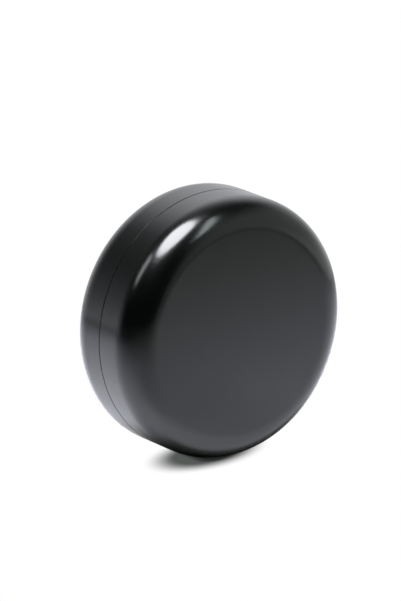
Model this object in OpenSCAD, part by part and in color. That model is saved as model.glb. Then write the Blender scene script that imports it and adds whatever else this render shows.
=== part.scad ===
// Round wet palette for model painting, closed, lying on its foot ring.
// Two rounded shells meet just below mid-height. The lower one holds a water tray with a screw neck,
// a sponge and a sheet of palette paper. The upper one is a screw lid with its own liner.
// Millimetres, +Z up, origin at the centre of the resting face.

/* [Case] */
// Outer diameter of the closed case
case_d = 110; // [100:1:130]
// Height of the closed case, on its foot ring
case_h = 45; // [44:0.5:52]
// Radius of the big rounding round both faces
corner_r = 12; // [8:0.5:12]
// Wall of the two outer shells
shell_wall = 2; // [1.6:0.1:2.2]
// Floor of the base shell and roof of the lid shell
shell_floor = 2.2; // [2:0.1:2.6]
// How far the seam lies below the middle of the two shells
seam_drop = 0.65; // [0:0.05:1.5]
// Gap left between the two shells at the seam
seam_gap = 0.3; // [0.2:0.05:0.5]
// Rounding of the lid shell's edge at the seam
lid_edge = 0.25; // [0.05:0.05:0.4]
// Rounding of the base shell's edge at the seam, which is nearly sharp
base_edge = 0.05; // [0.05:0.05:0.4]

/* [Foot ring] */
// How far the foot ring stands out of the base
foot_proud = 0.4; // [0.3:0.1:0.8]
// Inner radius of the foot ring
foot_in = 36; // [30:0.5:37]
// Width of the foot ring
foot_w = 5; // [4:0.5:5]
// Depth of its groove in the base
foot_groove = 1.2; // [0.8:0.1:1.2]

/* [Water tray] */
// Wall of the tray and its neck
tray_wall = 2; // [1.6:0.1:2.2]
// Floor of the tray
tray_floor = 1.8; // [1.5:0.1:2]
// Height of the neck's rim above the middle of the seam
neck_rise = 8.5; // [7:0.5:9]
// Thickness of the flange that carries the tray
flange_t = 2.4; // [1.8:0.1:2.6]
// Height of the ribs that keep the sponge off the tray's floor
channel_h = 1; // [0.6:0.1:1.5]
// Number of ribs on the tray's floor
channel_count = 12; // [6:1:16]

/* [Sponge and paper] */
// Thickness of the sponge
sponge_t = 18; // [12:0.5:18]
// Gap round the sponge
sponge_gap = 1.2; // [0.8:0.1:2]
// Thickness of the palette paper
paper_t = 0.2; // [0.1:0.05:0.3]
// How far the paper stops short of the sponge's edge
paper_inset = 0.6; // [0.2:0.1:3]

/* [Lid liner and seals] */
// Radial room between neck and lid skirt, where the thread ridges mesh
thread_room = 1.6; // [1.4:0.1:1.8]
// Wall of the lid liner
liner_wall = 1.7; // [1.5:0.1:1.8]
// Thickness of the flat seal over the neck's rim
rim_seal_t = 1.5; // [1.2:0.1:2]
// Section diameter of the ring at the foot of the neck
neck_seal_d = 1.5; // [1.2:0.1:1.5]

/* [Hidden] */
$fn = 180;

eps = 0.01;
fit = 0.1;
seat = 0.05;
case_r = case_d / 2;
shell_in = case_r - shell_wall;
shell_bottom = foot_proud;
seam_z = (shell_bottom + case_h) / 2 - seam_drop;
base_top = seam_z - seam_gap / 2;
lid_bottom = seam_z + seam_gap / 2;
inner_corner = corner_r - shell_wall;
base_floor_z = shell_bottom + shell_floor;
lid_roof_z = case_h - shell_floor;

// water tray, from its outer radius inwards and from its floor upwards
liner_out = shell_in - fit;
skirt_in = liner_out - liner_wall;
neck_out = skirt_in - thread_room;
neck_in = neck_out - tray_wall;
tray_stand = 2;
tray_bottom = base_floor_z + tray_stand;
tray_floor_z = tray_bottom + tray_floor;
tray_corner_out = 4;
tray_corner_in = 2;
neck_top = seam_z + neck_rise;
flange_top = base_top - 1.55;
flange_bottom = flange_top - flange_t;
stand_radii = [14, 28, 42];
stand_w = 1.4;
channel_w = 1.6;
channel_start = 9;
channel_end = neck_in - 3.6;
boss_r = 5;

// ribs inside the base shell that carry the flange; every third one is a key
rib_count = 12;
rib_w = 1.6;
rib_in = neck_out + 0.7;
key_count = 4;
key_in = shell_in - 1.6;
key_slot_w = rib_w + 4 * fit;

// sponge and paper
sponge_bottom = tray_floor_z + channel_h;
sponge_top = sponge_bottom + sponge_t;
sponge_r = neck_in - sponge_gap;
sponge_edge = 0.8;
paper_r = sponge_r - paper_inset;

// seals
neck_seal_r = neck_out + fit + neck_seal_d / 2;
neck_seal_z = flange_top + seat + neck_seal_d / 2;
rim_seal_z = neck_top + seat;
rim_seal_in = neck_in - 1;
rim_seal_out = skirt_in - fit;
rim_seal_edge = 0.3;

// lid liner: skirt, shelf over the rim seal, then the raised roof
skirt_bottom = lid_bottom + 0.35;
skirt_lead = 0.8;
shelf_z = rim_seal_z + rim_seal_t + seat;
shelf_t = 1.8;
crown_in = rim_seal_in - 0.2;
crown_out = crown_in + liner_wall;
crown_corner_out = crown_out - (shell_in - inner_corner) + 0.4;
crown_corner_in = crown_corner_out - liner_wall;
gusset_count = 12;
gusset_w = 1.4;
gusset_h = 6;
lid_key_in = shell_in - 0.9;
lid_key_bottom = lid_bottom + 1.4;
lid_key_top = shelf_z + 0.6;

// Solid half section of a shell: flat face at y = 0, rounded corner, straight band above it.
module shell_outline(r, corner, h) {
    square([r - corner, h]);
    translate([0, corner]) square([r, h - corner]);
    translate([r - corner, corner]) circle(corner);
}

// Waste outside a quarter round of radius e whose corner is at the origin, x and y negative inside.
module edge_waste(e) {
    difference() {
        translate([-e, -e]) square([2 * e, 2 * e]);
        translate([-e, -e]) circle(e);
    }
}

// Half section of one open shell, face down, with its rim at height h and the rim's edges rounded.
module shell_section(h, edge) {
    difference() {
        intersection() {
            shell_outline(case_r, corner_r, h);
            square([case_r + 1, h]);
        }
        translate([0, shell_floor]) shell_outline(shell_in, inner_corner, h);
        translate([case_r, h]) edge_waste(edge);
        translate([shell_in, h]) mirror([1, 0]) edge_waste(edge);
    }
}

// Copies of a radial feature, evenly spaced round the axis.
module around(count) {
    for (i = [0 : count - 1]) rotate(i * 360 / count) children();
}

// Upright block that lies along a radius.
module radial_block(r_from, r_to, z_from, z_to, w) {
    translate([r_from, -w / 2, z_from]) cube([r_to - r_from, w, z_to - z_from]);
}

// Flat ring.
module ring(r_from, r_to, z_from, z_to) {
    rotate_extrude() translate([r_from, z_from]) square([r_to - r_from, z_to - z_from]);
}

module base_shell() {
    color("#1b1c1e") {
        difference() {
            union() {
                translate([0, 0, shell_bottom])
                    rotate_extrude() shell_section(base_top - shell_bottom, base_edge);
                // ribs under the flange, kept inside the shell's rounded corner
                intersection() {
                    around(rib_count)
                        radial_block(rib_in, shell_in + 0.6, base_floor_z, flange_bottom, rib_w);
                    translate([0, 0, base_floor_z - 0.4]) rotate_extrude()
                        shell_outline(shell_in + 0.6, inner_corner + 0.6, base_top - base_floor_z);
                }
                around(key_count)
                    radial_block(key_in, shell_in + 0.6, flange_bottom - 1, flange_top - 0.4, rib_w);
            }
            ring(foot_in, foot_in + foot_w, shell_bottom - 1, shell_bottom + foot_groove);
        }
    }
}

// Silicone ring in the base's groove, with two grip grooves in its sole.
module foot_ring() {
    foot_h = foot_proud + foot_groove;
    sole_groove = 0.35;
    sole_edge = 0.3;
    color("#2a2b2d") rotate_extrude() difference() {
        translate([foot_in, 0]) square([foot_w, foot_h]);
        for (k = [1, 2]) translate([foot_in + k * foot_w / 3, 0]) circle(sole_groove);
        translate([foot_in + foot_w, 0]) mirror([0, 1]) edge_waste(sole_edge);
        translate([foot_in, 0]) rotate(180) edge_waste(sole_edge);
    }
}

// Half section of the tray: rounded cup, full-round neck rim, flange.
module tray_section() {
    difference() {
        union() {
            intersection() {
                translate([0, tray_bottom])
                    shell_outline(neck_out, tray_corner_out, neck_top - tray_bottom);
                square([neck_out + 1, neck_top - tray_wall / 2]);
            }
            translate([neck_out - tray_wall / 2, neck_top - tray_wall / 2]) circle(tray_wall / 2);
            translate([neck_in + 0.5, flange_bottom]) square([liner_out - neck_in - 0.5, flange_t]);
        }
        translate([0, tray_floor_z])
            shell_outline(neck_in, tray_corner_in, neck_top - tray_floor_z + 1);
    }
}

// Inner cup that holds the water. Rings stand it on the base; channels let water under the sponge.
module water_tray() {
    color("#3c3f43") difference() {
        union() {
            rotate_extrude() tray_section();
            for (r = stand_radii)
                ring(r - stand_w / 2, r + stand_w / 2, base_floor_z, tray_bottom + 0.5);
            around(channel_count)
                radial_block(channel_start, channel_end, tray_floor_z - 0.5, sponge_bottom, channel_w);
            translate([0, 0, tray_floor_z - 0.5]) cylinder(h = channel_h + 0.5, r = boss_r);
        }
        around(key_count)
            radial_block(key_in - 2 * fit, case_r, flange_bottom - 1, flange_top + 1, key_slot_w);
    }
}

module sponge() {
    color("#e6d27a") rotate_extrude() difference() {
        translate([0, sponge_bottom]) square([sponge_r, sponge_t]);
        translate([sponge_r, sponge_top]) edge_waste(sponge_edge);
        translate([sponge_r, sponge_bottom]) mirror([0, 1]) edge_waste(sponge_edge);
    }
}

module palette_paper() {
    color("#ece9df") translate([0, 0, sponge_top]) cylinder(h = paper_t, r = paper_r);
}

// Round-section ring on the flange; the lid's skirt closes on it.
module neck_seal() {
    color("#4a4d50") rotate_extrude()
        translate([neck_seal_r, neck_seal_z]) circle(neck_seal_d / 2);
}

// Flat ring under the lid's shelf; it closes on the neck's rim.
module rim_seal() {
    color("#4a4d50") rotate_extrude() difference() {
        translate([rim_seal_in, rim_seal_z]) square([rim_seal_out - rim_seal_in, rim_seal_t]);
        translate([rim_seal_out, rim_seal_z]) mirror([0, 1]) edge_waste(rim_seal_edge);
        translate([rim_seal_in, rim_seal_z]) rotate(180) edge_waste(rim_seal_edge);
    }
}

// Half section of the lid liner, drawn the way up it is used.
module liner_section() {
    roof_h = lid_roof_z - shelf_z;
    difference() {
        union() {
            translate([crown_in - 1, skirt_bottom])
                square([liner_out - crown_in + 1, shelf_z + shelf_t - skirt_bottom]);
            translate([0, lid_roof_z]) mirror([0, 1])
                shell_outline(crown_out, crown_corner_out, roof_h);
        }
        // room for the neck, its thread and the rim seal
        translate([0, skirt_bottom - 1]) square([skirt_in, shelf_z - skirt_bottom + 1]);
        // headroom over the paper
        translate([0, lid_roof_z - liner_wall]) mirror([0, 1])
            shell_outline(crown_in, crown_corner_in, roof_h);
        // lead-in that closes on the neck seal
        polygon([
            [skirt_in - eps, skirt_bottom - eps],
            [skirt_in + skirt_lead, skirt_bottom - eps],
            [skirt_in - eps, skirt_bottom + skirt_lead]
        ]);
    }
}

// Inner cap with the screw skirt; gussets stiffen its shelf, keys stop it turning in the shell.
module lid_liner() {
    color("#3c3f43") difference() {
        union() {
            rotate_extrude() liner_section();
            around(gusset_count) rotate([90, 0, 0])
                translate([0, 0, -gusset_w / 2]) linear_extrude(gusset_w) polygon([
                    [crown_out - 0.5, shelf_z + shelf_t - 0.5],
                    [liner_out - 0.2, shelf_z + shelf_t - 0.5],
                    [crown_out - 0.5, shelf_z + shelf_t + gusset_h]
                ]);
        }
        around(key_count) rotate(180 / gusset_count)
            radial_block(lid_key_in - 2 * fit, case_r, skirt_bottom - 1, lid_key_top + fit, key_slot_w);
    }
}

module lid_shell() {
    color("#1b1c1e") {
        translate([0, 0, case_h]) mirror([0, 0, 1])
            rotate_extrude() shell_section(case_h - lid_bottom, lid_edge);
        around(key_count) rotate(180 / gusset_count)
            radial_block(lid_key_in, shell_in + 0.6, lid_key_bottom, lid_key_top, rib_w);
    }
}

base_shell();
foot_ring();
water_tray();
sponge();
palette_paper();
neck_seal();
rim_seal();
lid_liner();
lid_shell();
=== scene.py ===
"""Looks of the round wet palette: finishes, screw threads, sponge, paper, studio and camera."""
import math

import bmesh
import bpy
from mathutils import Matrix, Vector, noise


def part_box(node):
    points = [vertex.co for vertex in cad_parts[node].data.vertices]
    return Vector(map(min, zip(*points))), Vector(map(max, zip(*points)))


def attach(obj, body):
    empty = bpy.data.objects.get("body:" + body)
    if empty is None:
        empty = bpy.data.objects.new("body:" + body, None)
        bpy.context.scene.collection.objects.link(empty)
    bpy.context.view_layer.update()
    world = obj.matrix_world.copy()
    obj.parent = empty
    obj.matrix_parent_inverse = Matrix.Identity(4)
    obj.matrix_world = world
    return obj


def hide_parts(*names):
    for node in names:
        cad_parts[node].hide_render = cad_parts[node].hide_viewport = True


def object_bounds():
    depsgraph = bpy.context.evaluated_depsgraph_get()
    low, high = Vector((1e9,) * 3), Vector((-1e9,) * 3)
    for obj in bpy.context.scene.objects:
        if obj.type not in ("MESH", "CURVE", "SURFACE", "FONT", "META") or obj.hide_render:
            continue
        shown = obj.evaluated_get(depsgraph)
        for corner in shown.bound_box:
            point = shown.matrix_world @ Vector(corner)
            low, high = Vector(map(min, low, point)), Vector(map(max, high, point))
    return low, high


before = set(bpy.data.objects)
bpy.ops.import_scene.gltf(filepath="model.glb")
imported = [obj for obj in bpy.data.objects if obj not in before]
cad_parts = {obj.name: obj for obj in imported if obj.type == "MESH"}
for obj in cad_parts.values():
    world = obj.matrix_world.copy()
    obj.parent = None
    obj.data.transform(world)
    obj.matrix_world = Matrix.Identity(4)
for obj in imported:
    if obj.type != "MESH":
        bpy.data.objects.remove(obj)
CAD_LOW, CAD_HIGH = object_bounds()

MM = 0.001
TURN = 2 * math.pi

# ---------------------------------------------------------------- the part, measured from the frame
CASE_R = (CAD_HIGH.x - CAD_LOW.x) / 2
CENTRE = Vector((0, 0, (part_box("base_shell")[0].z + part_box("lid_shell")[1].z) / 2))
SPONGE_LOW, SPONGE_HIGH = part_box("sponge")
PAPER_LOW, PAPER_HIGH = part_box("palette_paper")
SEAL_LOW, SEAL_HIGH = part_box("rim_seal")

# ---------------------------------------------------------------- the room the case stands in
# The case stands on its rim, so the room's up lies in the plane of the seam.
AXIS = Vector((0, 0, 1))
ROOM_UP = Vector((-1, -1, 0)).normalized()
RIM_SIDE = ROOM_UP.cross(AXIS)
AXIS_TURN = math.radians(36.44)      # how far the case's axis is turned from the camera, seen from above
CAMERA_PITCH = math.radians(17.06)   # the camera looks down by this much
ROOM_FRONT = math.cos(AXIS_TURN) * AXIS - math.sin(AXIS_TURN) * RIM_SIDE
ROOM_RIGHT = math.sin(AXIS_TURN) * AXIS + math.cos(AXIS_TURN) * RIM_SIDE

# camera: distance in case radii, and where the case's centre lies beside the middle of the picture
CAMERA_DISTANCE = 34.6
CENTRE_RIGHT = 0.0688
CENTRE_DOWN = 0.1480
SENSOR = 36.0            # mm, as the lens is
LENS = 278.6
CLIP_END = 20.0


# ---------------------------------------------------------------- shader graph helpers
def rgb(r, g, b):
    return (r, g, b, 1.0)


class Graph:
    """Adds and links shader nodes. A value is a number, a vector or another node's output."""

    def __init__(self, tree):
        self.tree = tree
        tree.nodes.clear()

    def add(self, kind, **settings):
        node = self.tree.nodes.new(kind)
        for name, value in settings.items():
            setattr(node, name, value)
        return node

    def feed(self, socket, value):
        if isinstance(value, bpy.types.NodeSocket):
            self.tree.links.new(value, socket)
        else:
            socket.default_value = value

    def math(self, operation, a, b=0.0, c=0.0):
        node = self.add("ShaderNodeMath", operation=operation)
        for socket, value in zip(node.inputs, (a, b, c)):
            self.feed(socket, value)
        return node.outputs[0]

    def dot(self, a, b):
        node = self.add("ShaderNodeVectorMath", operation="DOT_PRODUCT")
        self.feed(node.inputs[0], a)
        self.feed(node.inputs[1], b)
        return node.outputs["Value"]

    def soft_step(self, value, low, high):
        """0 below low, 1 above high, smooth between."""
        node = self.add("ShaderNodeMapRange", interpolation_type="SMOOTHSTEP")
        self.feed(node.inputs["Value"], value)
        self.feed(node.inputs["From Min"], low)
        self.feed(node.inputs["From Max"], high)
        return node.outputs["Result"]

    def stretch(self, value, from_range, to_range):
        """Straight-line change of one range of values into another, held at its ends."""
        node = self.add("ShaderNodeMapRange")
        self.feed(node.inputs["Value"], value)
        self.feed(node.inputs["From Min"], from_range[0])
        self.feed(node.inputs["From Max"], from_range[1])
        self.feed(node.inputs["To Min"], to_range[0])
        self.feed(node.inputs["To Max"], to_range[1])
        return node.outputs["Result"]

    def product(self, *values):
        result = values[0]
        for value in values[1:]:
            result = self.math("MULTIPLY", result, value)
        return result

    def total(self, *values):
        result = values[0]
        for value in values[1:]:
            result = self.math("ADD", result, value)
        return result

    def mix_colour(self, factor, a, b):
        node = self.add("ShaderNodeMix", data_type="RGBA")
        self.feed(node.inputs[0], factor)
        self.feed(node.inputs[6], a)     # sockets 6 and 7 are the two colours, and output 2 is the mix
        self.feed(node.inputs[7], b)
        return node.outputs[2]

    def mix_shader(self, factor, a, b):
        node = self.add("ShaderNodeMixShader")
        self.feed(node.inputs[0], factor)
        self.feed(node.inputs[1], a)
        self.feed(node.inputs[2], b)
        return node.outputs[0]

    def noise(self, place, scale, detail=2.0, roughness=0.5):
        node = self.add("ShaderNodeTexNoise")
        self.feed(node.inputs["Vector"], place)
        self.feed(node.inputs["Scale"], scale)
        self.feed(node.inputs["Detail"], detail)
        self.feed(node.inputs["Roughness"], roughness)
        return node.outputs["Fac"]

    def bump(self, height, distance, normal=None):
        node = self.add("ShaderNodeBump")
        self.feed(node.inputs["Height"], height)
        self.feed(node.inputs["Distance"], distance)
        self.feed(node.inputs["Strength"], 1.0)
        if normal is not None:
            self.feed(node.inputs["Normal"], normal)
        return node.outputs["Normal"]


def blank_material(name):
    """New material with a Principled shader, and the place on the object in metres."""
    material = bpy.data.materials.new(name)
    material.use_nodes = True
    graph = Graph(material.node_tree)
    shader = graph.add("ShaderNodeBsdfPrincipled")
    output = graph.add("ShaderNodeOutputMaterial")
    graph.feed(output.inputs["Surface"], shader.outputs[0])
    place = graph.add("ShaderNodeTexCoord").outputs["Object"]
    return material, graph, shader, place


# ---------------------------------------------------------------- studio
# Lamps: where each hangs from the case's centre, in case radii (right, to the camera, up), its size in
# case radii, its turn about its own axis in degrees and its radiance, where the picture's white is 1.
LAMPS = {
    "softbox": ((-0.64, 1.13, 3.0), (1.97, 1.97), 0, 21.2),
    "strip": ((1.88, 1.84, 3.0), (0.57, 2.9), 37, 7.3),
    "left_lamp": ((-3.4, 1.36, 3.0), (2.5, 0.95), 22, 4.4),
    "back_fill": ((0.0, -0.9, 2.6), (12.0, 2.2), 0, 7.0),
    "front_fill": ((-0.3, 0.85, 0.2), (2.6, 0.6), 0, 4.6),
    "far_fill": ((-1.0, -4.6, 1.6), (13.0, 4.0), 0, 1.1),
}
ROUND_LAMPS = ("softbox", "strip")
FILLS = ("back_fill", "front_fill", "far_fill")   # lamps for the table top, which gloss doesn't mirror
FILL_SPREAD = math.radians(130)
LAMP_TINT = {"strip": (0.90, 1.0, 1.02)}
USUAL_LAMP_TINT = (0.985, 1.0, 1.04)

# Walls of light far away: room azimuth (0 to the camera, + to the right) and elevation in degrees,
# half width and half height as tangents, soft edge as a tangent, radiance.
WALLS = {
    "backdrop": (182, 9, 0.85, 0.6, 0.6, 1.05),
    "backdrop_top": (180, 42, 0.40, 0.33, 0.38, 1.12),
    "right_wall": (97, 12, 0.95, 0.52, 0.36, 0.65),
    "right_low": (122, -12, 0.85, 0.14, 0.25, 0.95),
    "left_wall": (-112, -5, 0.5, 0.3, 0.38, 0.75),
    "left_low": (-125, -12, 0.6, 0.14, 0.22, 0.6),
    "left_high": (-113, 35, 0.32, 0.2, 0.3, 0.15),
}
LEFT_TINT = (0.985, 1.0, 1.045)         # the backdrop and the left walls are cool
RIGHT_TINT = (0.945, 1.0, 0.955)        # the right walls are olive
WALL_SIDE_ON = 0.02                     # cosine below which a ray passes a wall by

# The table top, on axes along the rim and along the case's axis, away from the lid, in case radii from
# the case's middle. Its colour holds painted light and shade: lighter far out and close round the rim,
# darker before the lid's face and under the rim. A box says where it starts and is full along the rim,
# where it starts to fade and ends there, and the same along the case's axis.
FLOOR_REACH = 8.0                       # half width of the table top
TABLE_GAP = 0.02 * MM                   # between the rim and the table top
TABLE_NEAR = (0.51, 0.513, 0.54)        # colour around the case
PAINTED_FAR_LIGHT = (0.535, 0.565, 0.50)        # painted light far out on the lid's side: lighter and more olive than near
TABLE_CHANGE = (2.8, 5.4)               # where the near colour turns into the painted far light
FACE_SHADE_BOX = ((-2.20, -1.20), (0.50, 1.30), (-2.80, -1.50), (-1.10, -0.60))    # painted shade in front of the lid's face
# colour of the painted shade in front of the lid's face
PAINTED_FACE_SHADE = (0.40, 0.40, 0.43)
CLOSE_LIGHT_BOX = ((-1.45, -0.85), (0.75, 1.40), (-1.05, -0.45), (0.10, 0.60))     # painted light close round the rim
# colour of the painted light close round the rim
PAINTED_CLOSE_LIGHT = (0.61, 0.61, 0.65)
SHADE_BOX = ((-0.75, -0.50), (0.50, 1.60), (-0.45, -0.31), (0.20, 0.80))     # the shade under the rim
SHADE_TONE = (0.19, 0.195, 0.18)

# what the camera sees of that shade: a soft ellipse (centre, half length and half width in case radii,
# turn in radians, and where it starts and ends to fade, as shares of the ellipse)
SEEN_SHADE = ((-0.092, -0.083), (0.455, 0.258), 0.174, (0.63, 1.33))
SEEN_SHADE_TONE = (0.092, 0.101, 0.095)
CONTACT_SHADE = (0.018, 0.020, 0.018)    # painted contact shade, where the rim almost touches the table top
CONTACT_REACH = 0.05                    # how far the rim's painted contact shade can reach, in case radii
CONTACT_OPEN = (0.1, 0.7)               # share of open sky where the painted contact shade starts to fade and ends
CONTACT_SAMPLES = 32
EDGE_ON = (0.80, 0.90)                  # Facing value where the seen shade starts to fade and ends


def room_vector(right, front, up):
    return right * ROOM_RIGHT + front * ROOM_FRONT + up * ROOM_UP


def room_direction(azimuth, elevation):
    a = math.radians(azimuth)
    e = math.radians(elevation)
    return room_vector(math.cos(e) * math.sin(a), math.cos(e) * math.cos(a), math.sin(e))


def make_lamp(name, place, size, turn, radiance):
    """Area lamp that faces straight down."""
    is_round = name in ROUND_LAMPS
    is_fill = name in FILLS
    data = bpy.data.lights.new(name, "AREA")
    data.shape = "ELLIPSE" if is_round else "RECTANGLE"
    data.size = CASE_R * size[0]
    data.size_y = CASE_R * size[1]
    area = data.size * data.size_y * (math.pi / 4 if is_round else 1)
    data.energy = radiance * math.pi * area
    data.color = LAMP_TINT.get(name, USUAL_LAMP_TINT)
    data.spread = FILL_SPREAD if is_fill else math.pi
    lamp = bpy.data.objects.new(name, data)
    bpy.context.scene.collection.objects.link(lamp)
    axes = Matrix((ROOM_RIGHT, -ROOM_FRONT, ROOM_UP)).transposed()
    spin = Matrix.Rotation(math.radians(turn), 3, "Z")
    lamp.matrix_world = Matrix.Translation(CENTRE + CASE_R * room_vector(*place)) @ (axes @ spin).to_4x4()
    lamp.visible_camera = False
    lamp.visible_glossy = not is_fill


def wall_light(graph, ray, azimuth, elevation, half_w, half_h, soft, radiance):
    """Light that a ray meets in one soft-edged wall."""
    centre = room_direction(azimuth, elevation)
    across = room_direction(azimuth + 90, 0)
    rise = room_direction(azimuth, elevation + 90)
    toward = graph.dot(ray, centre)
    meets = graph.math("GREATER_THAN", toward, WALL_SIDE_ON)
    ahead = graph.math("MAXIMUM", toward, WALL_SIDE_ON)

    def inside(direction, half):
        offset = graph.math("ABSOLUTE", graph.math("DIVIDE", graph.dot(ray, direction), ahead))
        return graph.soft_step(graph.math("SUBTRACT", half, offset), -soft, soft)

    return graph.product(inside(across, half_w), inside(rise, half_h), meets, radiance)


def make_world():
    """White to the camera; to everything else a dark room with a few walls of light."""
    world = bpy.data.worlds.new("studio")
    world.use_nodes = True
    bpy.context.scene.world = world
    graph = Graph(world.node_tree)
    ray = graph.add("ShaderNodeTexCoord").outputs["Generated"]
    studio = graph.add("ShaderNodeAddShader")
    for i, (on_right, tint) in enumerate(((False, LEFT_TINT), (True, RIGHT_TINT))):
        walls = [wall for name, wall in WALLS.items() if name.startswith("right") == on_right]
        side = graph.add("ShaderNodeBackground")
        graph.feed(side.inputs["Strength"], graph.total(*[wall_light(graph, ray, *wall) for wall in walls]))
        graph.feed(side.inputs["Color"], rgb(*tint))
        graph.feed(studio.inputs[i], side.outputs[0])
    backdrop = graph.add("ShaderNodeBackground")
    graph.feed(backdrop.inputs["Color"], rgb(1, 1, 1))
    to_camera = graph.add("ShaderNodeLightPath").outputs["Is Camera Ray"]
    output = graph.add("ShaderNodeOutputWorld")
    graph.feed(output.inputs["Surface"],
               graph.mix_shader(to_camera, studio.outputs[0], backdrop.outputs[0]))


def inside_box(graph, place, along_in, along_out, across_in, across_out):
    """Share of a soft-edged box on the table top: 1 well inside, 0 outside."""
    along = graph.dot(place, Vector((1, 0, 0)) / CASE_R)
    across = graph.dot(place, Vector((0, 1, 0)) / CASE_R)
    return graph.product(graph.soft_step(along, *along_in), graph.soft_step(across, *across_in),
                         graph.math("SUBTRACT", 1.0, graph.soft_step(along, *along_out)),
                         graph.math("SUBTRACT", 1.0, graph.soft_step(across, *across_out)))


def outside_ellipse(graph, place, centre, half, turn, fade):
    """Share of a place outside a soft ellipse on the table top: 0 in its middle, 1 well outside."""
    c = math.cos(turn)
    s = math.sin(turn)
    moved = graph.add("ShaderNodeVectorMath", operation="SUBTRACT")
    graph.feed(moved.inputs[0], place)
    graph.feed(moved.inputs[1], (CASE_R * centre[0], CASE_R * centre[1], 0))
    long_way = graph.dot(moved.outputs[0], Vector((c, s, 0)) / (half[0] * CASE_R))
    short_way = graph.dot(moved.outputs[0], Vector((-s, c, 0)) / (half[1] * CASE_R))
    reach = graph.math("SQRT", graph.total(graph.product(long_way, long_way),
                                           graph.product(short_way, short_way)))
    return graph.soft_step(reach, *fade)


def lit_table(graph, place):
    """The table top as the case mirrors it: matt, lit by the lamps, with painted light and shade in each
    box.
    """
    # painted light and shade in the table's colour: lighter far out and close round the rim, darker before
    # the lid's face and under the rim
    far = graph.soft_step(graph.dot(place, Vector((0, -1, 0)) / CASE_R), *TABLE_CHANGE)
    tone = graph.mix_colour(inside_box(graph, place, *FACE_SHADE_BOX), rgb(*TABLE_NEAR), rgb(*PAINTED_FACE_SHADE))
    tone = graph.mix_colour(inside_box(graph, place, *CLOSE_LIGHT_BOX), tone, rgb(*PAINTED_CLOSE_LIGHT))
    tone = graph.mix_colour(far, tone, rgb(*PAINTED_FAR_LIGHT))
    tone = graph.mix_colour(inside_box(graph, place, *SHADE_BOX), tone, rgb(*SHADE_TONE))
    table = graph.add("ShaderNodeBsdfDiffuse")
    graph.feed(table.inputs["Color"], tone)
    return table.outputs[0]


def seen_table(graph, place):
    """The table top as the camera sees it: white, with a painted shade and a painted contact shade that go
    when it is seen edge-on.
    """
    # the contact shade is painted where Ambient Occlusion finds the rim close, and the soft ellipse of
    # shade is painted too
    open_sky = graph.add("ShaderNodeAmbientOcclusion", samples=CONTACT_SAMPLES)
    graph.feed(open_sky.inputs["Distance"], CONTACT_REACH * CASE_R)
    away = graph.soft_step(open_sky.outputs["AO"], *CONTACT_OPEN)
    tone = graph.mix_colour(away, rgb(*CONTACT_SHADE), rgb(*SEEN_SHADE_TONE))
    tone = graph.mix_colour(outside_ellipse(graph, place, *SEEN_SHADE), tone, rgb(1, 1, 1))
    edge_on = graph.soft_step(graph.add("ShaderNodeLayerWeight").outputs["Facing"], *EDGE_ON)
    shown = graph.add("ShaderNodeEmission")
    graph.feed(shown.inputs["Color"], graph.mix_colour(edge_on, tone, rgb(1, 1, 1)))
    return shown.outputs[0]


def floor_material():
    """One table top for reflections and one for the camera, both clear from below."""
    material = bpy.data.materials.new("table_top")
    material.use_nodes = True
    graph = Graph(material.node_tree)
    place = graph.add("ShaderNodeTexCoord").outputs["Object"]
    to_camera = graph.add("ShaderNodeLightPath").outputs["Is Camera Ray"]
    top = graph.mix_shader(to_camera, lit_table(graph, place), seen_table(graph, place))
    from_below = graph.add("ShaderNodeNewGeometry").outputs["Backfacing"]
    clear = graph.add("ShaderNodeBsdfTransparent").outputs[0]
    output = graph.add("ShaderNodeOutputMaterial")
    graph.feed(output.inputs["Surface"], graph.mix_shader(from_below, top, clear))
    return material


def make_floor():
    """Table top under the rim."""
    reach = FLOOR_REACH * CASE_R
    mesh = bpy.data.meshes.new("floor")
    mesh.from_pydata([(-reach, -reach, 0), (reach, -reach, 0), (reach, reach, 0), (-reach, reach, 0)],
                     [], [(0, 1, 2, 3)])
    floor = bpy.data.objects.new("floor", mesh)
    bpy.context.scene.collection.objects.link(floor)
    axes = Matrix((RIM_SIDE, -AXIS, ROOM_UP)).transposed()
    floor.matrix_world = Matrix.Translation(CENTRE - ROOM_UP * (CASE_R + TABLE_GAP)) @ axes.to_4x4()
    mesh.materials.append(floor_material())


def make_camera():
    back = math.cos(CAMERA_PITCH) * ROOM_FRONT + math.sin(CAMERA_PITCH) * ROOM_UP
    up = math.cos(CAMERA_PITCH) * ROOM_UP - math.sin(CAMERA_PITCH) * ROOM_FRONT
    data = bpy.data.cameras.new("camera")
    data.sensor_width = SENSOR
    data.lens = LENS
    data.clip_end = CLIP_END
    camera = bpy.data.objects.new("camera", data)
    offset = CAMERA_DISTANCE * back - CENTRE_RIGHT * ROOM_RIGHT + CENTRE_DOWN * up
    axes = Matrix((ROOM_RIGHT, up, back)).transposed()
    camera.matrix_world = Matrix.Translation(CENTRE + CASE_R * offset) @ axes.to_4x4()
    bpy.context.scene.collection.objects.link(camera)
    bpy.context.scene.camera = camera


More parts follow.
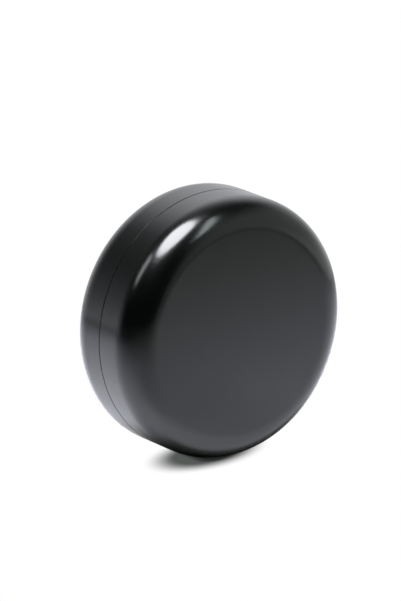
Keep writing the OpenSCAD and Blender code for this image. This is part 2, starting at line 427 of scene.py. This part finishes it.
# ---------------------------------------------------------------- plastics and rubbers
# Noise scales are in cells per metre. A plastic has its dark and light colour, its range of roughness,
# and the depth of its grain and of its wave. A rubber has its two colours and its least roughness.
CASE_PLASTIC = (rgb(0.0007, 0.0009, 0.0008), rgb(0.0012, 0.0015, 0.0013), (0.17, 0.23),
                0.0006 * MM, 0.002 * MM)
LINER_PLASTIC = (rgb(0.040, 0.043, 0.047), rgb(0.050, 0.053, 0.057), (0.30, 0.38),
                 0.002 * MM, 0.004 * MM)
FOOT_RUBBER = (rgb(0.018, 0.019, 0.020), rgb(0.026, 0.027, 0.028), 0.62)
SEAL_RUBBER = (rgb(0.15, 0.16, 0.17), rgb(0.20, 0.21, 0.22), 0.42)
NOISE_SPAN = (0.3, 0.7)          # the range that noise fills almost always
PLASTIC_IOR = 1.5
PLASTIC_DRIFT = 35.0             # slow change of tone and gloss, and the wave
PLASTIC_GRAIN = 4200.0
PLASTIC_SCUFF = 420.0
SCUFF_SHARE = 0.4                # of the change in gloss; the slow drift makes the rest
RUBBER_DRIFT = 90.0
RUBBER_GRAIN = 6000.0
RUBBER_GRAIN_DEPTH = 0.01 * MM
RUBBER_ROUGH_CHANGE = 0.15


def plastic(name, dark, light, rough_range, grain, wave):
    """Moulded plastic: tone and gloss drift a little, with fine grain over a faint wave."""
    material, graph, shader, place = blank_material(name)
    drift = graph.noise(place, PLASTIC_DRIFT, detail=3.0)
    fine = graph.noise(place, PLASTIC_GRAIN, roughness=0.6)
    scuff = graph.noise(place, PLASTIC_SCUFF, detail=5.0, roughness=0.7)
    wear = graph.math("MULTIPLY_ADD", scuff, SCUFF_SHARE, graph.math("MULTIPLY", drift, 1 - SCUFF_SHARE))
    graph.feed(shader.inputs["Base Color"], graph.mix_colour(drift, dark, light))
    graph.feed(shader.inputs["Roughness"], graph.stretch(wear, NOISE_SPAN, rough_range))
    graph.feed(shader.inputs["Normal"], graph.bump(fine, grain, normal=graph.bump(drift, wave)))
    graph.feed(shader.inputs["IOR"], PLASTIC_IOR)
    return material


def rubber(name, dark, light, rough):
    """Silicone: tone and gloss drift a little, with fine grain."""
    material, graph, shader, place = blank_material(name)
    drift = graph.noise(place, RUBBER_DRIFT, detail=4.0)
    fine = graph.noise(place, RUBBER_GRAIN)
    graph.feed(shader.inputs["Base Color"], graph.mix_colour(drift, dark, light))
    graph.feed(shader.inputs["Roughness"], graph.math("MULTIPLY_ADD", drift, RUBBER_ROUGH_CHANGE, rough))
    graph.feed(shader.inputs["Normal"], graph.bump(fine, RUBBER_GRAIN_DEPTH))
    return material


# ---------------------------------------------------------------- building and dressing pieces
ON_AXIS = 1e-6                   # a circle smaller than this is one point


def circle(mesh, r, z, steps):
    """Points of a level circle round the case's axis."""
    if r < ON_AXIS:
        return [mesh.verts.new((0, 0, z))]
    angles = [TURN * k / steps for k in range(steps)]
    return [mesh.verts.new((r * math.cos(a), r * math.sin(a), z)) for a in angles]


def join_rings(mesh, one, two):
    """Faces between two closed rings of points, of which one may be a single point."""
    steps = max(len(one), len(two))
    for k in range(steps):
        n = (k + 1) % steps
        corners = (one[k % len(one)], one[n % len(one)], two[n % len(two)], two[k % len(two)])
        mesh.faces.new(tuple(dict.fromkeys(corners)))


def arc(middle_r, middle_z, radius, first_deg, steps):
    """Quarter circle of profile points (r, z), with both its ends."""
    angles = [math.radians(first_deg + 90 * i / steps) for i in range(steps + 1)]
    return [(middle_r + radius * math.cos(a), middle_z + radius * math.sin(a)) for a in angles]


def finished(name, mesh):
    """Turns a bmesh into a linked, smooth-shaded object with outward normals."""
    bmesh.ops.recalc_face_normals(mesh, faces=mesh.faces)
    data = bpy.data.meshes.new(name)
    mesh.to_mesh(data)
    mesh.free()
    data.shade_smooth()
    piece = bpy.data.objects.new(name, data)
    bpy.context.scene.collection.objects.link(piece)
    return piece


def paint(piece, material):
    piece.data.materials.clear()
    piece.data.materials.append(material)


def dress(piece, material, body, slot, *replaced):
    """Gives a new piece its material and body, and hides the nodes that it stands for. Its slot is not
    used.
    """
    paint(piece, material)
    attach(piece, body)
    if replaced:
        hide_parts(*replaced)


# ---------------------------------------------------------------- screw threads
THREAD_STARTS = 3
THREAD_LEAD = 12 * MM        # one full turn would raise the lid by this much
THREAD_ROOT_W = 1.1 * MM     # width of a ridge where it leaves the wall
THREAD_CREST_W = 0.55 * MM
THREAD_SUNK = 0.15 * MM      # how far a ridge runs into its wall
CREST_ROUND = 0.1 * MM       # how far the crest's edges are taken in
SHOULDER_OUT = 0.06 * MM     # how far each shoulder stands wider than the crest
SHOULDER_SHARE = 0.8         # of the ridge's height
TAPER_DEG = 7.0              # over which a ridge rises at each end
RIDGE_STEPS = 56

# radius of the wall, radius of the crest, height at which a ridge starts, and the start and the sweep of
# the first ridge in degrees
NECK_THREAD = (49.6 * MM, 50.8 * MM, 25.4 * MM, 0, 105)
LID_THREAD = (51.2 * MM, 50.0 * MM, 24.3 * MM, -3, 55)


def ridge_section(root_r, wall_r, top_r):
    """Cross-section of a ridge from below to above, as radii and heights from its middle."""
    shoulder_r = wall_r + (top_r - wall_r) * SHOULDER_SHARE
    upper = ((top_r, THREAD_CREST_W / 2 - CREST_ROUND), (shoulder_r, THREAD_CREST_W / 2 + SHOULDER_OUT),
             (wall_r, THREAD_ROOT_W / 2), (root_r, THREAD_ROOT_W / 2))
    lower = [(r, -z) for r, z in reversed(upper)]
    return (*lower, *upper)


def thread_ridges(name, wall_r, crest_r, low_z, start_deg, sweep_deg):
    """Helical ridges on a round wall, each tapering out at both ends."""
    root_r = wall_r - THREAD_SUNK * math.copysign(1, crest_r - wall_r)
    mesh = bmesh.new()
    for start in range(THREAD_STARTS):
        rows = []
        for i in range(RIDGE_STEPS + 1):
            turned = sweep_deg * i / RIDGE_STEPS
            rise = min(1.0, turned / TAPER_DEG, (sweep_deg - turned) / TAPER_DEG)
            rise = rise * rise * (3 - 2 * rise)
            angle = math.radians(start_deg + start * 360 / THREAD_STARTS + turned)
            middle = low_z + THREAD_LEAD * turned / 360
            section = ridge_section(root_r, wall_r, wall_r + (crest_r - wall_r) * rise)
            rows.append([mesh.verts.new((r * math.cos(angle), r * math.sin(angle), middle + z))
                         for r, z in section])
        for one, two in zip(rows, rows[1:]):
            join_rings(mesh, one, two)
        mesh.faces.new(rows[0])
        mesh.faces.new(list(reversed(rows[-1])))
    return finished(name, mesh)


# ---------------------------------------------------------------- sponge
SPONGE_EDGE = 0.8 * MM                           # rounding of the cut edges
SPONGE_STEPS = 360
SPONGE_SIDE_STEPS = 24
SPONGE_ARC_STEPS = 4
FLAT_RINGS = (0.15, 0.3, 0.45, 0.6, 0.75, 0.88)  # rings on both flat faces, as shares of the radius
TOP_EDGE_RINGS = (0.97, 0.95)                    # two more on the top, where its uneven edge ends
UNEVEN_FROM = 0.9                                # share of the radius from which the skin is uneven
SKIN_SINK = 0.12 * MM                            # how far the skin lies in, and what cells and pits add
CELL_SINK = 0.10 * MM
PIT_SINK = 0.16 * MM
TOP_SKIN = 0.1 * MM                              # points this near to the top sink downwards too
TOP_SINK_SHARE = 0.6
CELLS = 900                                      # per metre, as the pits are
PITS = 2100
PITS_MOVED = Vector((3, 1, 7))                   # so that the pits don't follow the cells
SPONGE_COLOURS = (rgb(0.78, 0.60, 0.22), rgb(0.86, 0.70, 0.30))
# painted shade in the open pores
PORE_SHADE = rgb(0.36, 0.25, 0.07)
PORE_SCALE = 1100.0
PORE_EDGE = (0.15, 0.5)
PORE_DEPTH = 0.4 * MM
BLOTCH_SCALE = 60.0
SPONGE_ROUGH = 0.6                               # least roughness, and what the blotches add
SPONGE_ROUGH_CHANGE = 0.2
SPONGE_SCATTER = 0.15
SPONGE_SCATTER_R = (3 * MM, 2 * MM, 1 * MM)


def sponge_profile(radius, low, high, edge):
    """Half outline of the sponge as (r, z), from the middle of its underside to the middle of its top."""
    side_h = high - low - 2 * edge
    side_steps = range(1, SPONGE_SIDE_STEPS)
    return [
        (0.0, low),
        *[(radius * share, low) for share in FLAT_RINGS],
        *arc(radius - edge, low + edge, edge, -90, SPONGE_ARC_STEPS),
        *[(radius, low + edge + side_h * i / SPONGE_SIDE_STEPS) for i in side_steps],
        *arc(radius - edge, high - edge, edge, 0, SPONGE_ARC_STEPS),
        *[(radius * share, high) for share in TOP_EDGE_RINGS],
        *[(radius * share, high) for share in reversed(FLAT_RINGS)],
        (0.0, high),
    ]


def make_sponge(material):
    """Damp foam, with a skin that is a little uneven along its cut edges."""
    mesh = bmesh.new()
    profile = sponge_profile(SPONGE_HIGH.x, SPONGE_LOW.z, SPONGE_HIGH.z, SPONGE_EDGE)
    rings = [circle(mesh, r, z, SPONGE_STEPS) for r, z in profile]
    for one, two in zip(rings, rings[1:]):
        join_rings(mesh, one, two)
    for vert in mesh.verts:
        flat = Vector((vert.co.x, vert.co.y, 0))
        if flat.length < UNEVEN_FROM * SPONGE_HIGH.x:
            continue
        cell = noise.noise(vert.co * CELLS)
        pit = max(0.0, noise.noise(vert.co * PITS + PITS_MOVED))
        sink = SKIN_SINK + CELL_SINK * cell + PIT_SINK * pit
        vert.co -= flat.normalized() * sink
        if vert.co.z > SPONGE_HIGH.z - TOP_SKIN:
            vert.co.z -= TOP_SINK_SHARE * sink
    piece = finished("sponge_foam", mesh)
    dress(piece, material, "base", "sponge_foam", "sponge")


def sponge_material():
    """Yellow foam with painted shade in its open pores."""
    material, graph, shader, place = blank_material("damp_sponge")
    pores = graph.add("ShaderNodeTexVoronoi", feature="F1")
    graph.feed(pores.inputs["Vector"], place)
    graph.feed(pores.inputs["Scale"], PORE_SCALE)
    blotch = graph.noise(place, BLOTCH_SCALE, detail=3.0)
    solid = graph.soft_step(pores.outputs["Distance"], *PORE_EDGE)
    foam = graph.mix_colour(blotch, *SPONGE_COLOURS)
    rough = graph.math("MULTIPLY_ADD", blotch, SPONGE_ROUGH_CHANGE, SPONGE_ROUGH)
    graph.feed(shader.inputs["Base Color"], graph.mix_colour(solid, PORE_SHADE, foam))
    graph.feed(shader.inputs["Roughness"], rough)
    graph.feed(shader.inputs["Normal"], graph.bump(pores.outputs["Distance"], PORE_DEPTH))
    graph.feed(shader.inputs["Subsurface Weight"], SPONGE_SCATTER)
    graph.feed(shader.inputs["Subsurface Radius"], SPONGE_SCATTER_R)
    return material


# ---------------------------------------------------------------- paper
PAPER_THIN = 0.1 * MM            # thickness of the sheet; the rest of its box is room for the cockles
PAPER_RINGS = 40
PAPER_STEPS = 240
PAPER_FLAT = 0.55                # share of the radius inside which the sheet lies flat
COCKLES_ROUND = 2.2              # radius of the circle through the noise that goes once round the sheet
COCKLES_OUT = 3                  # way through the noise from the sheet's middle to its edge
PAPER_COLOURS = (rgb(0.80, 0.765, 0.675), rgb(0.77, 0.73, 0.625))     # damp, and wetter
FLECK_COLOUR = rgb(0.73, 0.69, 0.58)
FIBRE_SCALE = 2400.0
FIBRE_DEPTH = 0.04 * MM
FLECK_EDGE = (0.52, 0.70)
WET_SCALE = 150.0
WET_EDGE = (0.45, 0.62)
COCKLE_SCALE = 85.0
COCKLE_DEPTH = 0.35 * MM
PAPER_ROUGH = 0.64               # roughness of the damp sheet, and what the wetter patches change
PAPER_WET_CHANGE = -0.18


def paper_lift(out, angle):
    """How far the sheet stands up at a share out of its radius, as a share of the room it has."""
    edge = max(0.0, (out - PAPER_FLAT) / (1 - PAPER_FLAT)) ** 2
    around = Vector((COCKLES_ROUND * math.cos(angle), COCKLES_ROUND * math.sin(angle), COCKLES_OUT * out))
    return edge * (0.5 + 0.5 * noise.noise(around))


def make_paper(material):
    """Damp sheet on the sponge; it lies flat in the middle and cockles a little towards its edge."""
    room = PAPER_HIGH.z - PAPER_LOW.z - PAPER_THIN
    angles = [TURN * k / PAPER_STEPS for k in range(PAPER_STEPS)]
    mesh = bmesh.new()
    rims = []
    for z in (PAPER_LOW.z, PAPER_LOW.z + PAPER_THIN):
        rings = [[mesh.verts.new((0, 0, z))]]
        for i in range(1, PAPER_RINGS + 1):
            out = i / PAPER_RINGS
            r = PAPER_HIGH.x * out
            rings.append([mesh.verts.new((r * math.cos(a), r * math.sin(a), z + room * paper_lift(out, a)))
                          for a in angles])
        for one, two in zip(rings, rings[1:]):
            join_rings(mesh, one, two)
        rims.append(rings[-1])
    join_rings(mesh, *rims)
    piece = finished("paper_sheet", mesh)
    dress(piece, material, "base", "paper", "palette_paper")


def paper_material():
    """Damp parchment: fine fibres, small wetter patches and shallow cockles."""
    material, graph, shader, place = blank_material("damp_paper")
    fibres = graph.noise(place, FIBRE_SCALE, detail=5.0, roughness=0.65)
    flecks = graph.soft_step(fibres, *FLECK_EDGE)
    wet = graph.soft_step(graph.noise(place, WET_SCALE, detail=6.0, roughness=0.6), *WET_EDGE)
    sheet = graph.mix_colour(wet, *PAPER_COLOURS)
    cockled = graph.bump(graph.noise(place, COCKLE_SCALE, roughness=0.4), COCKLE_DEPTH)
    rough = graph.math("MULTIPLY_ADD", wet, PAPER_WET_CHANGE, PAPER_ROUGH)
    graph.feed(shader.inputs["Base Color"], graph.mix_colour(flecks, sheet, FLECK_COLOUR))
    graph.feed(shader.inputs["Roughness"], rough)
    graph.feed(shader.inputs["Normal"], graph.bump(fibres, FIBRE_DEPTH, normal=cockled))
    return material


# ---------------------------------------------------------------- rim seal
SEAL_EDGE = 0.3 * MM             # rounding of the ring's four edges
SEAL_STEPS = 240
SEAL_ARC_STEPS = 3


def make_seal(material):
    """The rim seal sticks in the lid's shelf, so it moves with the lid."""
    inner_r = min(vert.co.xy.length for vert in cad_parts["rim_seal"].data.vertices)
    left = inner_r + SEAL_EDGE
    right = SEAL_HIGH.x - SEAL_EDGE
    low = SEAL_LOW.z + SEAL_EDGE
    high = SEAL_HIGH.z - SEAL_EDGE
    corners = ((right, low, -90), (right, high, 0), (left, high, 90), (left, low, 180))
    mesh = bmesh.new()
    rings = [circle(mesh, r, z, SEAL_STEPS) for middle_r, middle_z, first_deg in corners
             for r, z in arc(middle_r, middle_z, SEAL_EDGE, first_deg, SEAL_ARC_STEPS)]
    for one, two in zip(rings, rings[1:] + rings[:1]):
        join_rings(mesh, one, two)
    piece = finished("rim_seal_ring", mesh)
    dress(piece, material, "lid", "seal_silicone", "rim_seal")


# ---------------------------------------------------------------- put together
bpy.context.scene.view_settings.view_transform = "Standard"
make_camera()
make_world()
make_floor()
for lamp_name, lamp in LAMPS.items():
    make_lamp(lamp_name, *lamp)

case_plastic = plastic("case_plastic", *CASE_PLASTIC)
liner_plastic = plastic("liner_plastic", *LINER_PLASTIC)
foot_rubber = rubber("foot_rubber", *FOOT_RUBBER)
seal_rubber = rubber("seal_rubber", *SEAL_RUBBER)
NODE_MATERIALS = {
    "base_shell": case_plastic,
    "lid_shell": case_plastic,
    "water_tray": liner_plastic,
    "lid_liner": liner_plastic,
    "foot_ring": foot_rubber,
    "neck_seal": seal_rubber,
}
for node_name, node_material in NODE_MATERIALS.items():
    paint(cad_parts[node_name], node_material)

make_sponge(sponge_material())
make_paper(paper_material())
make_seal(seal_rubber)
dress(thread_ridges("neck_thread", *NECK_THREAD), liner_plastic, "base", "liner_grey")
dress(thread_ridges("lid_thread", *LID_THREAD), liner_plastic, "lid", "liner_grey")
